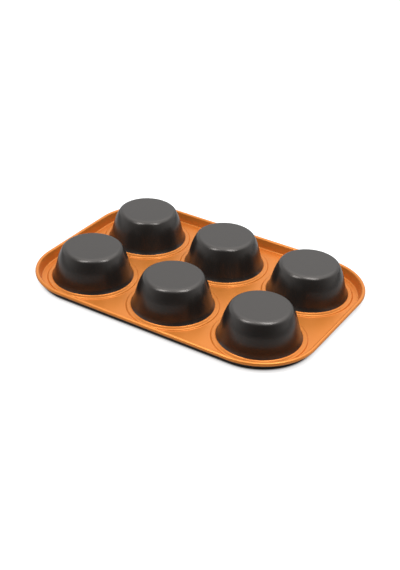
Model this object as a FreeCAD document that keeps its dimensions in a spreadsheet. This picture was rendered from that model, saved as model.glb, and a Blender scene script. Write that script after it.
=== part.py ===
import FreeCAD, Part

import math
import os

import Sketcher

# Six-cup muffin pan, one pressed sheet, shown with the cups upward.
# Frame: millimetres, Z up, X along the three cups, Y across the two rows.
# Z = 0 is the face of the deck that lies on the table, mouths down.

os.makedirs("parts", exist_ok=True)

SIZES = {
    "sheet": (0.8, "thickness of the pressed sheet"),
    "pan_height": (38.8, "table to the flat cup bottoms"),
    "foot_radius": (45.4, "radius of a cup at its foot, outside"),
    "foot_bend": (1.5, "radius of the bend from the ring up to the foot of a cup"),
    "flare_radius": (16.0, "radius of the hollow flare above the foot, outside"),
    "flare_lean": (36.0, "degrees the flare leans from upright at the foot"),
    "cup_taper": (15.0, "degrees the straight part of the cup wall leans from upright"),
    "crown_radius": (59.0, "radius of the slow turn at the top of the cup wall, outside"),
    "crown_lean": (28.8, "degrees the crown leans from upright where the shoulder starts"),
    "shoulder_radius": (6.3, "radius between the crown and the cup bottom, outside"),
    "ring_width": (2.54, "flat width of the raised ring round a cup"),
    "ring_rise": (1.5, "height of the ring above the deck"),
    "ring_bend": (1.2, "mid-sheet radius of the two bends of the ring's edge"),
    "gap_long": (4.04, "deck between two rings, along the pan"),
    "gap_cross": (4.94, "deck between two rings, across the pan"),
    "margin_long": (5.02, "deck between a ring and the rim, at the ends"),
    "margin_cross": (5.47, "deck between a ring and the rim, at the long sides"),
    "corner_radius": (66.2, "plan radius of the corners, over the rolled edge"),
    "rim_reach": (8.0, "edge of the flat deck to the outside of the rolled edge"),
    "rim_height": (11.7, "table to the top of the rolled edge"),
    "rim_bend": (1.5, "radius between deck and rim wall, inside"),
    "bead_radius": (2.2, "outside radius of the rolled edge"),
    "bead_close": (30.0, "degrees the roll carries on past its lowest point"),
}
COUNT_LONG, COUNT_CROSS = 3, 2
LAP = 1.0

# Radii and spacings that follow from the sizes, as the sheet of sizes works them out.
MOUTH = "(sizes.foot_radius + sizes.foot_bend * cos(sizes.flare_lean * 1 deg))"
STEP = "sqrt(4 * sizes.ring_bend * sizes.ring_rise - sizes.ring_rise ^ 2)"
TOE = "(%s + sizes.ring_width + %s)" % (MOUTH, STEP)
PITCH_LONG = "(2 * %s + sizes.gap_long)" % TOE
PITCH_CROSS = "(2 * %s + sizes.gap_cross)" % TOE
FIRST_LONG = "(%s * %g)" % (PITCH_LONG, (COUNT_LONG - 1) / 2)
FIRST_CROSS = "(%s * %g)" % (PITCH_CROSS, (COUNT_CROSS - 1) / 2)
HALF_LENGTH = "(%s + %s + sizes.margin_long + sizes.rim_reach)" % (FIRST_LONG, TOE)
HALF_WIDTH = "(%s + %s + sizes.margin_cross + sizes.rim_reach)" % (FIRST_CROSS, TOE)

doc = FreeCAD.newDocument("muffin_pan")
sheet = doc.addObject("Spreadsheet::Sheet", "sizes")
for row, (alias, (value, note)) in enumerate(SIZES.items(), start=1):
    sheet.set("A%d" % row, alias)
    sheet.set("B%d" % row, str(value))
    sheet.set("C%d" % row, note)
    sheet.setAlias("B%d" % row, alias)
doc.recompute()


def size(alias):
    return float(sheet.get(alias))


T = size("sheet")
mouth = size("foot_radius") + size("foot_bend") * math.cos(math.radians(size("flare_lean")))
step = math.sqrt(4 * size("ring_bend") * size("ring_rise") - size("ring_rise") ** 2)
ring = mouth + size("ring_width")
toe = ring + step
first_long = (2 * toe + size("gap_long")) * (COUNT_LONG - 1) / 2
first_cross = (2 * toe + size("gap_cross")) * (COUNT_CROSS - 1) / 2
half_length = first_long + toe + size("margin_long") + size("rim_reach")
half_width = first_cross + toe + size("margin_cross") + size("rim_reach")
body = doc.addObject("PartDesign::Body", "muffin_pan")
body.Label = "muffin_pan"


def origin_item(role):
    for item in body.Origin.OriginFeatures:
        if item.Role == role:
            return item
    raise ValueError("no origin item " + role)


def new_sketch(name, role):
    sketch = body.newObject("Sketcher::SketchObject", name)
    sketch.AttachmentSupport = [(origin_item(role), "")]
    sketch.MapMode = "FlatFace"
    return sketch


def point(x, y):
    return FreeCAD.Vector(x, y, 0)


def add_line(sketch, start, end):
    return sketch.addGeometry(Part.LineSegment(point(*start), point(*end)), False)


def add_arc(sketch, centre, radius, start_deg, end_deg):
    circle = Part.Circle(point(*centre), FreeCAD.Vector(0, 0, 1), radius)
    first = math.radians(start_deg)
    last = math.radians(end_deg)
    return sketch.addGeometry(Part.ArcOfCircle(circle, first, last), False)


def bind(sketch, kind, refs, value, name, formula):
    # One driving dimension, named and tied to the table of sizes.
    index = sketch.addConstraint(Sketcher.Constraint(kind, *refs, value))
    sketch.renameConstraint(index, name)
    sketch.setExpression("Constraints." + name, formula)


def relate(sketch, kind, *refs):
    sketch.addConstraint(Sketcher.Constraint(kind, *refs))


def rounded_outline(name, half_x, half_y, radius, inset):
    # Rounded rectangle centred on the origin, its first corner point on +Y.
    sketch = new_sketch(name, "XY_Plane")
    x_in = half_x - radius
    y_in = half_y - radius
    top = add_line(sketch, (-x_in, half_y), (x_in, half_y))
    right = add_line(sketch, (half_x, y_in), (half_x, -y_in))
    bottom = add_line(sketch, (x_in, -half_y), (-x_in, -half_y))
    left = add_line(sketch, (-half_x, -y_in), (-half_x, y_in))
    corner_a = add_arc(sketch, (x_in, y_in), radius, 0, 90)
    corner_b = add_arc(sketch, (x_in, -y_in), radius, 270, 360)
    corner_c = add_arc(sketch, (-x_in, -y_in), radius, 180, 270)
    corner_d = add_arc(sketch, (-x_in, y_in), radius, 90, 180)
    joins = [
        (top, 2, corner_a, 2), (corner_a, 1, right, 1),
        (right, 2, corner_b, 2), (corner_b, 1, bottom, 1),
        (bottom, 2, corner_c, 2), (corner_c, 1, left, 1),
        (left, 2, corner_d, 2), (corner_d, 1, top, 1),
    ]
    for join in joins:
        relate(sketch, "Tangent", *join)
    relate(sketch, "Horizontal", top)
    relate(sketch, "Vertical", right)
    relate(sketch, "Horizontal", bottom)
    relate(sketch, "Vertical", left)
    for other in (corner_b, corner_c, corner_d):
        relate(sketch, "Equal", corner_a, other)
    relate(sketch, "Symmetric", top, 1, bottom, 1, -1, 1)
    across = HALF_WIDTH + " - " + inset
    along = HALF_LENGTH + " - " + inset
    bend = "sizes.corner_radius - " + inset
    bind(sketch, "DistanceY", (-1, 1, top, 1), half_y, "half_width", across)
    bind(sketch, "DistanceX", (-1, 1, right, 1), half_x, "half_length", along)
    bind(sketch, "Radius", (corner_a,), radius, "corner", bend)
    return sketch


def rim_section():
    # Sheet section at the middle of the long side: bend, leaning wall, roll.
    sketch = new_sketch("rim_section", "YZ_Plane")
    bead = size("bead_radius")
    bend = size("rim_bend")
    centre_y = half_width - bead
    centre_z = size("rim_height") - bead
    edge_y = half_width - size("rim_reach")
    gap_y = centre_y - edge_y
    gap_z = centre_z - T - bend
    apart = math.hypot(gap_y, gap_z)
    rise = math.degrees(math.atan2(gap_z, gap_y) + math.asin((bend + bead) / apart))
    turn = 90 + rise
    last = -90 - size("bead_close")

    def on(centre, radius, degrees):
        angle = math.radians(degrees)
        return (centre[0] + radius * math.cos(angle),
                centre[1] + radius * math.sin(angle))

    hub = (centre_y, centre_z)
    foot = (edge_y, T + bend)
    lap_y = edge_y - LAP
    deck_top = add_line(sketch, (lap_y, T), (edge_y, T))
    bend_in = add_arc(sketch, foot, bend, 270, 270 + rise)
    wall_in = add_line(sketch, on(foot, bend, rise - 90), on(hub, bead, turn))
    roll_out = add_arc(sketch, hub, bead, last, turn)
    cap = add_line(sketch, on(hub, bead, last), on(hub, bead - T, last))
    roll_in = add_arc(sketch, hub, bead - T, last, turn)
    wall_out = add_line(sketch, on(hub, bead - T, turn), on(foot, bend + T, rise - 90))
    bend_out = add_arc(sketch, foot, bend + T, 270, 270 + rise)
    deck_low = add_line(sketch, (edge_y, 0), (lap_y, 0))
    close = add_line(sketch, (lap_y, 0), (lap_y, T))
    spoke = add_line(sketch, hub, on(hub, bead, last))
    sketch.setConstruction(spoke, True)
    for join in [(deck_top, 2, bend_in, 1), (bend_in, 2, wall_in, 1),
                 (wall_in, 2, roll_out, 2), (roll_in, 2, wall_out, 1),
                 (wall_out, 2, bend_out, 2), (bend_out, 1, deck_low, 1)]:
        relate(sketch, "Tangent", *join)
    for meet in [(roll_out, 1, cap, 1), (cap, 2, roll_in, 1), (deck_low, 2, close, 1),
                 (close, 2, deck_top, 1), (bend_in, 3, bend_out, 3),
                 (roll_out, 3, roll_in, 3), (spoke, 1, roll_out, 3),
                 (spoke, 2, roll_out, 1)]:
        relate(sketch, "Coincident", *meet)
    relate(sketch, "PointOnObject", cap, 2, spoke)
    relate(sketch, "Horizontal", deck_top)
    relate(sketch, "Vertical", close)
    relate(sketch, "PointOnObject", deck_low, 1, -1)
    relate(sketch, "PointOnObject", deck_low, 2, -1)
    bind(sketch, "DistanceX", (-1, 1, roll_out, 3), centre_y, "bead_out",
         HALF_WIDTH + " - sizes.bead_radius")
    bind(sketch, "DistanceY", (-1, 1, roll_out, 3), centre_z, "bead_up",
         "sizes.rim_height - sizes.bead_radius")
    bind(sketch, "DistanceX", (-1, 1, bend_in, 3), edge_y, "deck_edge",
         HALF_WIDTH + " - sizes.rim_reach")
    bind(sketch, "DistanceX", (deck_top, 1, deck_top, 2), LAP, "lap", "%g mm" % LAP)
    bind(sketch, "Radius", (roll_out,), bead, "roll", "sizes.bead_radius")
    bind(sketch, "Radius", (roll_in,), bead - T, "roll_inside",
         "sizes.bead_radius - sizes.sheet")
    bind(sketch, "Radius", (bend_in,), bend, "bend", "sizes.rim_bend")
    bind(sketch, "Radius", (bend_out,), bend + T, "bend_outside",
         "sizes.rim_bend + sizes.sheet")
    bind(sketch, "Angle", (-1, 1, spoke, 1), math.radians(last), "roll_end",
         "-90 deg - sizes.bead_close * 1 deg")
    return sketch


def cup_section(name, inside):
    # Half section of a cup, out to its lap on the deck. The inside section is
    # the outside one set back by the sheet. The sketch stands on the axis of
    # the first cup, which is at the low end of both patterns.
    sketch = new_sketch(name, "XZ_Plane")
    sketch.setExpression("AttachmentOffset.Base.x", "-" + FIRST_LONG)
    sketch.setExpression("AttachmentOffset.Base.z", FIRST_CROSS)
    back = T if inside else 0.0
    less = " - sizes.sheet" if inside else ""
    more = " + sizes.sheet" if inside else ""
    half = "sizes.sheet / 2"
    rise = size("ring_rise")
    top_z = size("pan_height") - back
    deck_z = T - back
    ring_z = deck_z + rise
    flare = size("flare_radius") + back
    fold = size("foot_bend") + back
    crown = size("crown_radius") - back
    shoulder = size("shoulder_radius") - back
    edge_bend = size("ring_bend") + (-T / 2 if inside else T / 2)
    toe_bend = size("ring_bend") + (T / 2 if inside else -T / 2)
    taper = size("cup_taper")
    tip = size("crown_lean")
    lean = math.radians(taper)
    nod = math.radians(tip)
    spread = math.radians(size("flare_lean"))
    drop = math.degrees(math.acos(1 - rise / (edge_bend + toe_bend)))
    floor_z = -LAP if inside else 0.0
    wide_x = toe if inside else toe + LAP
    fold_c = (mouth, ring_z + fold)
    foot = (mouth - fold * math.cos(spread), fold_c[1] - fold * math.sin(spread))
    flare_c = (foot[0] + flare * math.cos(spread), foot[1] + flare * math.sin(spread))
    low = (flare_c[0] - flare * math.cos(lean), flare_c[1] - flare * math.sin(lean))
    shoulder_z = top_z - shoulder
    crown_z = shoulder_z + (shoulder - crown) * math.sin(nod)
    high_z = crown_z + crown * math.sin(lean)
    high = (low[0] - (high_z - low[1]) * math.tan(lean), high_z)
    crown_x = high[0] - crown * math.cos(lean)
    flat_x = crown_x + (crown - shoulder) * math.cos(nod)
    brink = (flat_x + shoulder * math.cos(nod), shoulder_z + shoulder * math.sin(nod))

    bottom = add_line(sketch, (0, top_z), (flat_x, top_z))
    turn = add_arc(sketch, (flat_x, shoulder_z), shoulder, tip, 90)
    slow = add_arc(sketch, (crown_x, crown_z), crown, taper, tip)
    prop = add_line(sketch, (flat_x, shoulder_z), brink)
    sketch.setConstruction(prop, True)
    wall = add_line(sketch, high, low)
    skirt = add_arc(sketch, flare_c, flare, 180 + taper, 180 + size("flare_lean"))
    lip = add_arc(sketch, fold_c, fold, 180 + size("flare_lean"), 270)
    spoke = add_line(sketch, fold_c, foot)
    sketch.setConstruction(spoke, True)
    flat = add_line(sketch, (mouth, ring_z), (ring, ring_z))
    brow = add_arc(sketch, (ring, ring_z - edge_bend), edge_bend, 90 - drop, 90)
    heel = add_arc(sketch, (toe, deck_z + toe_bend), toe_bend, 270 - drop, 270)
    axis = add_line(sketch, (0, floor_z), (0, top_z))
    base = add_line(sketch, (wide_x, floor_z), (0, floor_z))
    for join in [(bottom, 2, turn, 2), (turn, 1, slow, 2), (slow, 1, wall, 1),
                 (wall, 2, skirt, 1), (skirt, 2, lip, 1), (lip, 2, flat, 1),
                 (flat, 2, brow, 2), (brow, 1, heel, 1)]:
        relate(sketch, "Tangent", *join)
    relate(sketch, "Coincident", prop, 1, turn, 3)
    relate(sketch, "Coincident", prop, 2, turn, 1)
    relate(sketch, "Coincident", spoke, 1, lip, 3)
    relate(sketch, "Coincident", spoke, 2, lip, 1)
    relate(sketch, "Coincident", axis, 2, bottom, 1)
    relate(sketch, "Coincident", base, 2, axis, 1)
    relate(sketch, "Horizontal", bottom)
    relate(sketch, "Horizontal", flat)
    relate(sketch, "Horizontal", base)
    relate(sketch, "Vertical", axis)
    if inside:
        side = add_line(sketch, (toe, deck_z), (toe, floor_z))
        relate(sketch, "Coincident", heel, 2, side, 1)
        relate(sketch, "Vertical", heel, 3, heel, 2)
        relate(sketch, "PointOnObject", heel, 2, -1)
        bind(sketch, "DistanceY", (base, 1, -1, 1), LAP, "below", "%g mm" % LAP)
    else:
        lap = add_line(sketch, (toe, deck_z), (wide_x, deck_z))
        side = add_line(sketch, (wide_x, deck_z), (wide_x, 0))
        relate(sketch, "Tangent", heel, 2, lap, 1)
        relate(sketch, "Coincident", lap, 2, side, 1)
        relate(sketch, "Horizontal", lap)
        relate(sketch, "PointOnObject", base, 1, -1)
        bind(sketch, "DistanceX", (lap, 1, lap, 2), LAP, "lap", "%g mm" % LAP)
        bind(sketch, "DistanceY", (-1, 1, lap, 1), deck_z, "deck", "sizes.sheet")
    relate(sketch, "Coincident", side, 2, base, 1)
    relate(sketch, "Vertical", side)
    relate(sketch, "PointOnObject", bottom, 1, -2)
    bind(sketch, "DistanceY", (-1, 1, bottom, 1), top_z, "height",
         "sizes.pan_height" + less)
    bind(sketch, "Radius", (turn,), shoulder, "shoulder", "sizes.shoulder_radius" + less)
    bind(sketch, "Radius", (slow,), crown, "crown", "sizes.crown_radius" + less)
    bind(sketch, "Radius", (skirt,), flare, "flare", "sizes.flare_radius" + more)
    bind(sketch, "Radius", (lip,), fold, "lip", "sizes.foot_bend" + more)
    bind(sketch, "Radius", (brow,), edge_bend, "brow",
         "sizes.ring_bend " + ("- " if inside else "+ ") + half)
    bind(sketch, "Radius", (heel,), toe_bend, "heel",
         "sizes.ring_bend " + ("+ " if inside else "- ") + half)
    bind(sketch, "DistanceX", (axis, 1, flat, 1), mouth, "mouth", MOUTH)
    bind(sketch, "DistanceX", (flat, 1, flat, 2), ring - mouth, "ring",
         "sizes.ring_width")
    bind(sketch, "DistanceY", (-1, 1, flat, 1), ring_z, "ring_level",
         "sizes.ring_rise + sizes.sheet" + less)
    bind(sketch, "Angle", (axis, 1, wall, 2), lean, "taper", "sizes.cup_taper * 1 deg")
    bind(sketch, "Angle", (-1, 1, prop, 1), nod, "nod", "sizes.crown_lean * 1 deg")
    bind(sketch, "Angle", (-1, 1, spoke, 1), spread - math.pi, "spread",
         "sizes.flare_lean * 1 deg - 180 deg")
    return sketch


# Flat deck, out to where the rim starts to bend.
flat_inset = size("rim_reach")
deck_outline = rounded_outline(
    "deck_outline",
    half_length - flat_inset,
    half_width - flat_inset,
    size("corner_radius") - flat_inset,
    "sizes.rim_reach",
)
deck = body.newObject("PartDesign::Pad", "deck")
deck.Profile = deck_outline
deck.setExpression("Length", "sizes.sheet")
doc.recompute()

# Rim: one sheet section carried round the edge line of the roll.
edge_line = rounded_outline(
    "edge_line",
    half_length - size("bead_radius"),
    half_width - size("bead_radius"),
    size("corner_radius") - size("bead_radius"),
    "sizes.bead_radius",
)
section = rim_section()
doc.recompute()
rim = body.newObject("PartDesign::AdditivePipe", "rolled_rim")
rim.Profile = section
rim.Spine = (edge_line, [])
doc.recompute()


def turned(kind, name, profile):
    feature = body.newObject(kind, name)
    feature.Profile = profile
    feature.ReferenceAxis = (profile, ["V_Axis"])
    feature.Angle = 360
    return feature


# Cups: a turned body raised on the deck, then the sheet's inside cut from below.
cup = turned("PartDesign::Revolution", "cup", cup_section("cup_outside", False))
doc.recompute()
solid_before = cup.Shape.Volume
hollow = turned("PartDesign::Groove", "hollow", cup_section("cup_inside", True))
doc.recompute()
if hollow.Shape.Volume >= solid_before:
    raise RuntimeError("the cup was not hollowed")


def pattern(name, role, count, pitch):
    row_pattern = doc.addObject("PartDesign::LinearPattern", name)
    row_pattern.Direction = (origin_item(role), [""])
    row_pattern.Occurrences = count
    row_pattern.setExpression("Length", "%s * %d" % (pitch, count - 1))
    return row_pattern


cups = body.newObject("PartDesign::MultiTransform", "cups")
cups.Originals = [cup, hollow]
along_pan = pattern("cups_long", "X_Axis", COUNT_LONG, PITCH_LONG)
across_pan = pattern("cups_cross", "Y_Axis", COUNT_CROSS, PITCH_CROSS)
cups.Transformations = [along_pan, across_pan]
body.addObject(along_pan)
body.addObject(across_pan)
cups.Refine = True
body.Tip = cups
doc.recompute()


def check(item):
    if "Invalid" in item.State or "Error" in item.State:
        raise RuntimeError(item.Name + " did not recompute")
    if item in cups.Transformations:
        return
    if item.isDerivedFrom("PartDesign::Feature") or item.isDerivedFrom("Sketcher::SketchObject"):
        if item.Shape.isNull() or not item.Shape.isValid():
            raise RuntimeError(item.Name + " has no sound shape")


for item in doc.Objects:
    check(item)

if not body.Shape.isValid() or len(body.Shape.Solids) != 1:
    raise RuntimeError("the pan is not one valid solid")

body.Shape.exportStep("parts/" + body.Label + ".step")
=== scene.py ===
import math

import bmesh
import bpy
from mathutils import Matrix, Vector


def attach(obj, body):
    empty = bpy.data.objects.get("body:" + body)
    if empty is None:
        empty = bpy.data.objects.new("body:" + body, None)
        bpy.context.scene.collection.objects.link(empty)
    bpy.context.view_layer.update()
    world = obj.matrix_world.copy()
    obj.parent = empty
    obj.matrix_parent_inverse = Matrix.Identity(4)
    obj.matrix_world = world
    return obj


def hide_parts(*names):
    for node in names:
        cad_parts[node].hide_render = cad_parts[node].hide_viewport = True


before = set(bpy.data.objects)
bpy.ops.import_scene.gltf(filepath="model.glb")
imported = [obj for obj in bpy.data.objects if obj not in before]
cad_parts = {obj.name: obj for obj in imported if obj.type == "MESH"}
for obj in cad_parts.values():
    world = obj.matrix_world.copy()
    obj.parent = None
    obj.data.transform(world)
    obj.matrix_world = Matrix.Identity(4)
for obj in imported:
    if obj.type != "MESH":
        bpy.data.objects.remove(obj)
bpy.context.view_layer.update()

MM = 0.001

# The pan's sizes in millimetres and degrees, the same as the part's.
SHEET = 0.8
PAN_HEIGHT = 38.8
FOOT_RADIUS = 45.4
FOOT_BEND = 1.5
FLARE_RADIUS = 16.0
FLARE_LEAN = 36.0
CUP_TAPER = 15.0
CROWN_RADIUS = 59.0
CROWN_LEAN = 28.8
SHOULDER_RADIUS = 6.3
RING_WIDTH = 2.54
RING_RISE = 1.5
RING_BEND = 1.2
GAP_LONG = 4.04
GAP_CROSS = 4.94
MARGIN_LONG = 5.02
MARGIN_CROSS = 5.47
CORNER_RADIUS = 66.2
RIM_REACH = 8.0
RIM_HEIGHT = 11.7
RIM_BEND = 1.5
BEAD_RADIUS = 2.2
BEAD_CLOSE = 30.0

# Radii on a cup, spacings and half sizes that follow from them.
MOUTH = FOOT_RADIUS + FOOT_BEND * math.cos(math.radians(FLARE_LEAN))
RING = MOUTH + RING_WIDTH
TOE = RING + math.sqrt(4 * RING_BEND * RING_RISE - RING_RISE**2)
PITCH_LONG = 2 * TOE + GAP_LONG
PITCH_CROSS = 2 * TOE + GAP_CROSS
HALF_LENGTH = PITCH_LONG + TOE + MARGIN_LONG + RIM_REACH
HALF_WIDTH = PITCH_CROSS / 2 + TOE + MARGIN_CROSS + RIM_REACH

# Facets round a cup and round a corner, and steps along each arc of the sections.
AROUND_CUP = 120
AROUND_CORNER = 30
SHOULDER_STEPS = 14
CROWN_STEPS = 8
FLARE_STEPS = 8
FOOT_STEPS = 6
RING_STEPS = 6
TOE_STEPS = 6
RIM_STEPS = 8
BEAD_STEPS = 24

# Circles of the mesh on a cup's flat bottom, as shares of its radius.
FLAT_CIRCLES = (0.35, 0.7)

# Places of the two coats in the skin's list of materials.
DARK, ORANGE = 0, 1

# Very fine grain of both coats: waves per metre, octaves and depth in millimetres.
GRAIN_SCALE = 900.0
GRAIN_DETAIL = 2.0
GRAIN_DEPTH = 0.05

# Floor: half its side and how far it lies under the pan, in millimetres.
FLOOR_REACH = 6000.0
FLOOR_DROP = 0.2

# Painted pool of light: how white the floor is near the pan and far from it, and how far out it
# runs.
FLOOR_NEAR = 0.5
FLOOR_FAR = 0.06
FLOOR_FADE = (230.0, 420.0)

# Lift that makes the floor white to the camera, and the reach of the painted contact shadow at the
# pan.
FLOOR_LIFT = 0.7
CONTACT_SHADOW = 2.0

# Light levels of the room: behind and beside the pan, in front of it, and overhead.
ROOM_BACK = 0.82
ROOM_FRONT = 0.03
ROOM_TOP = 2.1

# Directions of the dim front and of the overhead light, with the cosines of the angles
# from them at which each one starts and is full.
FRONT_AXIS = (0.510, -0.860, 0.0)
FRONT_SPAN = (-0.20, 1.00)
TOP_AXIS = (0.0, 0.259, 0.966)
TOP_SPAN = (0.60, 0.97)

# Camera, found from the outlines of the cups and of the rim in the photograph.
FOCAL_PX = 1099.2
LONG_SIDE_PX = 570.0
SENSOR = 36.0
AZIMUTH = 30.69
ELEVATION = 31.26
ROLL = 2.44
TARGET = (4.74, -5.21, 2.84)
DISTANCE = 1219.2
NEAR_CLIP = 50.0
FAR_CLIP = 30000.0


def on_circle(centre, radius, degrees):
    angle = math.radians(degrees)
    return (centre[0] + radius * math.cos(angle), centre[1] + radius * math.sin(angle))


def arc(centre, radius, start, end, steps, hollow=False):
    """Points with normals along an arc; hollow is an arc seen from its centre's side."""
    side = -1.0 if hollow else 1.0
    made = []
    for step in range(steps + 1):
        degrees = start + (end - start) * step / steps
        angle = math.radians(degrees)
        normal = (side * math.cos(angle), side * math.sin(angle))
        made.append((on_circle(centre, radius, degrees), normal))
    return made


def cup_profile():
    """Outer face of a cup from its axis to the deck, as (radius, height), normal.

    The dark coat ends at the foot, where the flare turns into the bend to the ring.
    """
    ring_z = SHEET + RING_RISE
    lean = math.radians(CUP_TAPER)
    nod = math.radians(CROWN_LEAN)
    edge_bend = RING_BEND + SHEET / 2
    toe_bend = RING_BEND - SHEET / 2
    drop = math.degrees(math.acos(1 - RING_RISE / (edge_bend + toe_bend)))
    lip_c = (MOUTH, ring_z + FOOT_BEND)
    foot = on_circle(lip_c, FOOT_BEND, 180 + FLARE_LEAN)
    flare_c = on_circle(foot, FLARE_RADIUS, FLARE_LEAN)
    low = on_circle(flare_c, FLARE_RADIUS, 180 + CUP_TAPER)
    shoulder_z = PAN_HEIGHT - SHOULDER_RADIUS
    crown_z = shoulder_z + (SHOULDER_RADIUS - CROWN_RADIUS) * math.sin(nod)
    high_z = crown_z + CROWN_RADIUS * math.sin(lean)
    high_x = low[0] - (high_z - low[1]) * math.tan(lean)
    crown_x = high_x - CROWN_RADIUS * math.cos(lean)
    flat_x = crown_x + (CROWN_RADIUS - SHOULDER_RADIUS) * math.cos(nod)
    dark = [((flat_x * share, PAN_HEIGHT), (0.0, 1.0)) for share in FLAT_CIRCLES]
    dark += arc((flat_x, shoulder_z), SHOULDER_RADIUS, 90, CROWN_LEAN, SHOULDER_STEPS)
    dark += arc((crown_x, crown_z), CROWN_RADIUS, CROWN_LEAN, CUP_TAPER, CROWN_STEPS)[1:]
    dark += arc(flare_c, FLARE_RADIUS, 180 + CUP_TAPER, 180 + FLARE_LEAN, FLARE_STEPS, True)
    light = arc(lip_c, FOOT_BEND, 180 + FLARE_LEAN, 270, FOOT_STEPS, True)[1:]
    light += arc((RING, ring_z - edge_bend), edge_bend, 90, 90 - drop, RING_STEPS)
    light += arc((TOE, SHEET + toe_bend), toe_bend, 270 - drop, 270, TOE_STEPS, True)[1:]
    return dark, light


def rim_profile():
    """Inner face of the rim from the deck to the end of the roll, as (inset, height), normal."""
    hub = (-BEAD_RADIUS, RIM_HEIGHT - BEAD_RADIUS)
    foot = (-RIM_REACH, SHEET + RIM_BEND)
    across = hub[0] - foot[0]
    up = hub[1] - foot[1]
    rise = math.degrees(
        math.atan2(up, across)
        + math.asin((RIM_BEND + BEAD_RADIUS) / math.hypot(across, up))
    )
    profile = arc(foot, RIM_BEND, 270, 270 + rise, RIM_STEPS, True)
    profile += arc(hub, BEAD_RADIUS, 90 + rise, -90 - BEAD_CLOSE, BEAD_STEPS)
    return profile


def add_row(bm, normals, places):
    row = []
    for place, normal in places:
        vert = bm.verts.new(Vector(place) * MM)
        vert[normals] = Vector(normal)
        row.append(vert)
    return row


def add_face(bm, corners, material, flip):
    if flip:
        corners.reverse()
    face = bm.faces.new(corners)
    face.material_index = material
    face.smooth = True


def bridge(bm, first, second, material, flip):
    """Closed strip of faces between two rows of the same length."""
    count = len(first)
    for i in range(count):
        j = (i + 1) % count
        add_face(bm, [first[i], second[i], second[j], first[j]], material, flip)


def cup_rows(bm, normals, centre, points, below):
    rows = []
    for (radius, height), (out, rise) in points:
        if below:
            radius, height = radius - SHEET * out, height - SHEET * rise
            out, rise = -out, -rise
        places = []
        for i in range(AROUND_CUP):
            turn = 2 * math.pi * i / AROUND_CUP
            c, s = math.cos(turn), math.sin(turn)
            place = (centre[0] + radius * c, centre[1] + radius * s, height)
            places.append((place, (out * c, out * s, rise)))
        rows.append(add_row(bm, normals, places))
    return rows


def cap_middle(bm, normals, centre, row, height, flip):
    """Fan of faces from a row to the point in its middle."""
    up = -1.0 if flip else 1.0
    hub = add_row(bm, normals, [((centre[0], centre[1], height), (0, 0, up))])[0]
    for i in range(len(row)):
        add_face(bm, [hub, row[i], row[(i + 1) % len(row)]], DARK, flip)


def add_cup(bm, normals, centre, below):
    """One side of a cup. Returns the circle where it meets the deck."""
    dark, light = cup_profile()
    rows = cup_rows(bm, normals, centre, dark + light, below)
    height = PAN_HEIGHT - SHEET if below else PAN_HEIGHT
    cap_middle(bm, normals, centre, rows[0], height, below)
    dark_strips = len(dark) - 1
    for i in range(len(rows) - 1):
        material = DARK if below or i < dark_strips else ORANGE
        bridge(bm, rows[i], rows[i + 1], material, below)
    return rows[-1]


def add_rim(bm, normals, below):
    """One side of the rim, swept round the rounded outline. Returns its first and last rows."""
    half_x = HALF_LENGTH - CORNER_RADIUS
    half_y = HALF_WIDTH - CORNER_RADIUS
    spokes = []
    for quarter, (sx, sy) in enumerate(((1, 1), (-1, 1), (-1, -1), (1, -1))):
        for i in range(AROUND_CORNER + 1):
            turn = math.pi / 2 * (quarter + i / AROUND_CORNER)
            spokes.append((sx * half_x, sy * half_y, math.cos(turn), math.sin(turn)))
    rows = []
    for (inset, height), (out, rise) in rim_profile():
        if below:
            inset, height = inset - SHEET * out, height - SHEET * rise
            out, rise = -out, -rise
        reach = CORNER_RADIUS + inset
        places = []
        for x, y, c, s in spokes:
            places.append(((x + reach * c, y + reach * s, height), (out * c, out * s, rise)))
        rows.append(add_row(bm, normals, places))
    for i in range(len(rows) - 1):
        bridge(bm, rows[i], rows[i + 1], DARK if below else ORANGE, below)
    return rows[0], rows[-1]


def loop_edges(row):
    """Edges between neighbours of a closed row."""
    found = []
    for i, vert in enumerate(row):
        other = row[(i + 1) % len(row)]
        for edge in vert.link_edges:
            if edge.other_vert(vert) is other:
                found.append(edge)
    return found


def add_deck(bm, loops, material, up):
    """Flat faces between the cups' circles and the rim, facing up (1) or down (-1)."""
    edges = [edge for loop in loops for edge in loop_edges(loop)]
    filled = bmesh.ops.triangle_fill(bm, edges=edges, use_beauty=True)
    for item in filled["geom"]:
        if isinstance(item, bmesh.types.BMFace):
            item.normal_update()
            if item.normal.z * up < 0:
                item.normal_flip()
            item.material_index = material
            item.smooth = True


def build_pan():
    """Closed skin of the pan, its upper and lower side joined at the end of the roll."""
    bm = bmesh.new()
    normals = bm.verts.layers.float_vector.new("true_normal")
    centres = []
    for i in (-1, 0, 1):
        for j in (-0.5, 0.5):
            centres.append((i * PITCH_LONG, j * PITCH_CROSS))
    ends = []
    for below in (False, True):
        loops = [add_cup(bm, normals, centre, below) for centre in centres]
        edge, end = add_rim(bm, normals, below)
        bm.normal_update()
        add_deck(bm, loops + [edge], DARK if below else ORANGE, -1 if below else 1)
        ends.append(end)
    bridge(bm, ends[0], ends[1], DARK, False)
    mesh = bpy.data.meshes.new("pan_skin")
    true = [vert[normals].normalized() for vert in bm.verts]
    bm.to_mesh(mesh)
    bm.free()
    mesh.normals_split_custom_set_from_vertices(true)
    skin = bpy.data.objects.new("pan_skin", mesh)
    bpy.context.scene.collection.objects.link(skin)
    return skin


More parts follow.
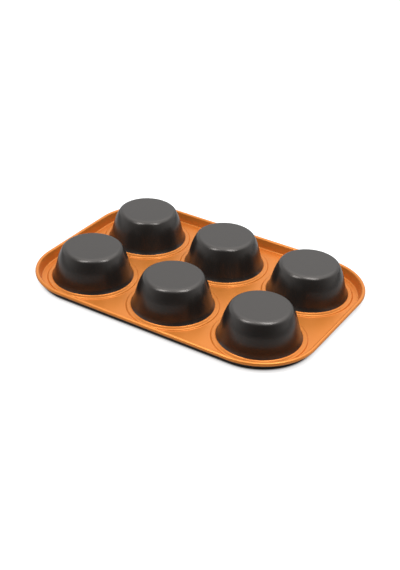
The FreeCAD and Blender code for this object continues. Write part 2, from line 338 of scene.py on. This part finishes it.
def coat(name, colour, tint, metallic, roughness, ior, bump_strength):
    """Satin baked-on coat with a very fine grain."""
    material = bpy.data.materials.new(name)
    material.use_nodes = True
    nodes = material.node_tree.nodes
    links = material.node_tree.links
    shader = nodes["Principled BSDF"]
    shader.inputs["Base Color"].default_value = (*colour, 1.0)
    shader.inputs["Specular Tint"].default_value = (*tint, 1.0)
    shader.inputs["Metallic"].default_value = metallic
    shader.inputs["Roughness"].default_value = roughness
    shader.inputs["IOR"].default_value = ior
    place = nodes.new("ShaderNodeTexCoord")
    noise = nodes.new("ShaderNodeTexNoise")
    noise.inputs["Scale"].default_value = GRAIN_SCALE
    noise.inputs["Detail"].default_value = GRAIN_DETAIL
    bump = nodes.new("ShaderNodeBump")
    bump.inputs["Strength"].default_value = bump_strength
    bump.inputs["Distance"].default_value = GRAIN_DEPTH * MM
    links.new(place.outputs["Object"], noise.inputs["Vector"])
    links.new(noise.outputs["Fac"], bump.inputs["Height"])
    links.new(bump.outputs["Normal"], shader.inputs["Normal"])
    return material


def dark_coat():
    """Near black, with reflections a little on the warm side."""
    return coat(
        "dark_coat",
        colour=(0.010, 0.0085, 0.0075),
        tint=(1.0, 0.945, 0.905),
        metallic=0.0,
        roughness=0.30,
        ior=1.66,
        bump_strength=0.08,
    )


def orange_coat():
    """Copper orange, about half of it metallic."""
    return coat(
        "orange_coat",
        colour=(0.655, 0.209, 0.029),
        tint=(1.0, 1.0, 1.0),
        metallic=0.48,
        roughness=0.36,
        ior=1.5,
        bump_strength=0.10,
    )


def empty_tree(owner):
    """Nodes and links of a material or a world, with no node in it."""
    owner.use_nodes = True
    nodes = owner.node_tree.nodes
    for node in list(nodes):
        nodes.remove(node)
    return nodes, owner.node_tree.links


def floor_white():
    """White to the camera, with a painted contact shadow at the pan; to other rays a painted pool
    of light, grey and dimmer far away.
    """
    material = bpy.data.materials.new("floor_white")
    nodes, links = empty_tree(material)
    place = nodes.new("ShaderNodeTexCoord")
    away = nodes.new("ShaderNodeVectorMath")
    away.operation = "LENGTH"
    # Painted pool of light: to rays other than the camera's the floor greys away from the pan,
    # standing in for light falling off.
    fade = nodes.new("ShaderNodeMapRange")
    fade.interpolation_type = "SMOOTHSTEP"
    fade.inputs["From Min"].default_value = FLOOR_FADE[0] * MM
    fade.inputs["From Max"].default_value = FLOOR_FADE[1] * MM
    fade.inputs["To Min"].default_value = FLOOR_NEAR
    fade.inputs["To Max"].default_value = FLOOR_FAR
    dim = nodes.new("ShaderNodeBsdfDiffuse")
    matt = nodes.new("ShaderNodeBsdfDiffuse")
    matt.inputs["Color"].default_value = (FLOOR_NEAR, FLOOR_NEAR, FLOOR_NEAR, 1)
    # Painted contact shadow: ambient occlusion cuts the camera's white lift close to the pan, so a
    # dark line shows there.
    shade = nodes.new("ShaderNodeAmbientOcclusion")
    shade.inputs["Distance"].default_value = CONTACT_SHADOW * MM
    lift = nodes.new("ShaderNodeEmission")
    lift.inputs["Color"].default_value = (1, 1, 1, 1)
    amount = nodes.new("ShaderNodeMath")
    amount.operation = "MULTIPLY"
    amount.inputs[1].default_value = FLOOR_LIFT
    both = nodes.new("ShaderNodeAddShader")
    rays = nodes.new("ShaderNodeLightPath")
    pick = nodes.new("ShaderNodeMixShader")
    out = nodes.new("ShaderNodeOutputMaterial")
    links.new(place.outputs["Object"], away.inputs[0])
    links.new(away.outputs["Value"], fade.inputs["Value"])
    links.new(fade.outputs["Result"], dim.inputs["Color"])
    links.new(shade.outputs["AO"], amount.inputs[0])
    links.new(amount.outputs["Value"], lift.inputs["Strength"])
    links.new(matt.outputs["BSDF"], both.inputs[0])
    links.new(lift.outputs["Emission"], both.inputs[1])
    links.new(rays.outputs["Is Camera Ray"], pick.inputs[0])
    links.new(dim.outputs["BSDF"], pick.inputs[1])
    links.new(both.outputs["Shader"], pick.inputs[2])
    links.new(pick.outputs["Shader"], out.inputs["Surface"])
    return material


def build_floor():
    """Floor just under the pan, only a surface to lie on and to take its shadow."""
    reach = FLOOR_REACH * MM
    corners = [(-reach, -reach, 0), (reach, -reach, 0), (reach, reach, 0), (-reach, reach, 0)]
    mesh = bpy.data.meshes.new("floor")
    mesh.from_pydata(corners, [], [(0, 1, 2, 3)])
    mesh.materials.append(floor_white())
    floor = bpy.data.objects.new("floor", mesh)
    floor.location.z = -FLOOR_DROP * MM
    bpy.context.scene.collection.objects.link(floor)
    return floor


def build_world():
    """Light tent: white behind, beside and above the pan, dim in front of it."""
    world = bpy.data.worlds.new("room")
    bpy.context.scene.world = world
    nodes, links = empty_tree(world)
    place = nodes.new("ShaderNodeTexCoord")

    def along(direction, span):
        """0 to 1 with the part of a ray's direction that points along one line."""
        dot = nodes.new("ShaderNodeVectorMath")
        dot.operation = "DOT_PRODUCT"
        dot.inputs[1].default_value = direction
        ramp = nodes.new("ShaderNodeMapRange")
        ramp.interpolation_type = "SMOOTHSTEP"
        ramp.inputs["From Min"].default_value = span[0]
        ramp.inputs["From Max"].default_value = span[1]
        links.new(place.outputs["Generated"], dot.inputs[0])
        links.new(dot.outputs["Value"], ramp.inputs["Value"])
        return ramp.outputs["Result"]

    def blend(amount, high):
        """Mix node that goes to one level by an amount, its other input left to set."""
        mix = nodes.new("ShaderNodeMix")
        mix.inputs["B"].default_value = high
        links.new(amount, mix.inputs["Factor"])
        return mix

    sides = blend(along(FRONT_AXIS, FRONT_SPAN), ROOM_FRONT)
    sides.inputs["A"].default_value = ROOM_BACK
    level = blend(along(TOP_AXIS, TOP_SPAN), ROOM_TOP)
    links.new(sides.outputs["Result"], level.inputs["A"])
    lit = nodes.new("ShaderNodeBackground")
    lit.inputs["Color"].default_value = (1, 1, 1, 1)
    links.new(level.outputs["Result"], lit.inputs["Strength"])
    seen = nodes.new("ShaderNodeBackground")
    seen.inputs["Color"].default_value = (1, 1, 1, 1)
    rays = nodes.new("ShaderNodeLightPath")
    pick = nodes.new("ShaderNodeMixShader")
    out = nodes.new("ShaderNodeOutputWorld")
    links.new(rays.outputs["Is Camera Ray"], pick.inputs[0])
    links.new(lit.outputs["Background"], pick.inputs[1])
    links.new(seen.outputs["Background"], pick.inputs[2])
    links.new(pick.outputs["Shader"], out.inputs["Surface"])


def build_lamp(name, place, width, height, power):
    """Area light aimed at the middle of the pan; place and sizes in millimetres, power in watts."""
    data = bpy.data.lights.new(name, "AREA")
    data.shape = "RECTANGLE"
    data.size = width * MM
    data.size_y = height * MM
    data.energy = power
    lamp = bpy.data.objects.new(name, data)
    lamp.location = Vector(place) * MM
    lamp.rotation_mode = "QUATERNION"
    lamp.rotation_quaternion = lamp.location.to_track_quat("Z", "Y")
    lamp.visible_camera = False
    bpy.context.scene.collection.objects.link(lamp)


def build_camera():
    """Camera on its fitted place, aimed and rolled as in the photograph.

    The outlines were read with whole numbers at the middles of pixels, so the camera
    stands half a pixel up and to the left, taken at the target's distance.
    """
    azimuth = math.radians(AZIMUTH)
    elevation = math.radians(ELEVATION)
    roll = math.radians(ROLL)
    distance = DISTANCE * MM
    half_pixel = 0.5 * distance / FOCAL_PX
    sa, ca = math.sin(azimuth), math.cos(azimuth)
    se, ce = math.sin(elevation), math.cos(elevation)
    back = Vector((sa * ce, -ca * ce, se))
    right = Vector((ca, sa, 0))
    up = back.cross(right)
    turned_right = right * math.cos(roll) + up * math.sin(roll)
    turned_up = up * math.cos(roll) - right * math.sin(roll)
    data = bpy.data.cameras.new("camera")
    data.sensor_width = SENSOR
    data.lens = FOCAL_PX * SENSOR / LONG_SIDE_PX
    data.clip_start = NEAR_CLIP * MM
    data.clip_end = FAR_CLIP * MM
    camera = bpy.data.objects.new("camera", data)
    place = Vector(TARGET) * MM + back * distance + (turned_up - turned_right) * half_pixel
    turn = Matrix((turned_right, turned_up, back)).transposed()
    camera.matrix_world = Matrix.Translation(place) @ turn.to_4x4()
    bpy.context.scene.collection.objects.link(camera)
    bpy.context.scene.camera = camera


pan = build_pan()
pan.data.materials.append(dark_coat())
pan.data.materials.append(orange_coat())
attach(pan, "root")
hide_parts("muffin_pan")

build_floor()
build_world()
build_lamp("lamp_left", place=(-159, -374, 594), width=150, height=370, power=1.7)
build_lamp("lamp_right", place=(209, -48, 407), width=100, height=240, power=0.68)
build_camera()
bpy.context.scene.view_settings.view_transform = "Standard"
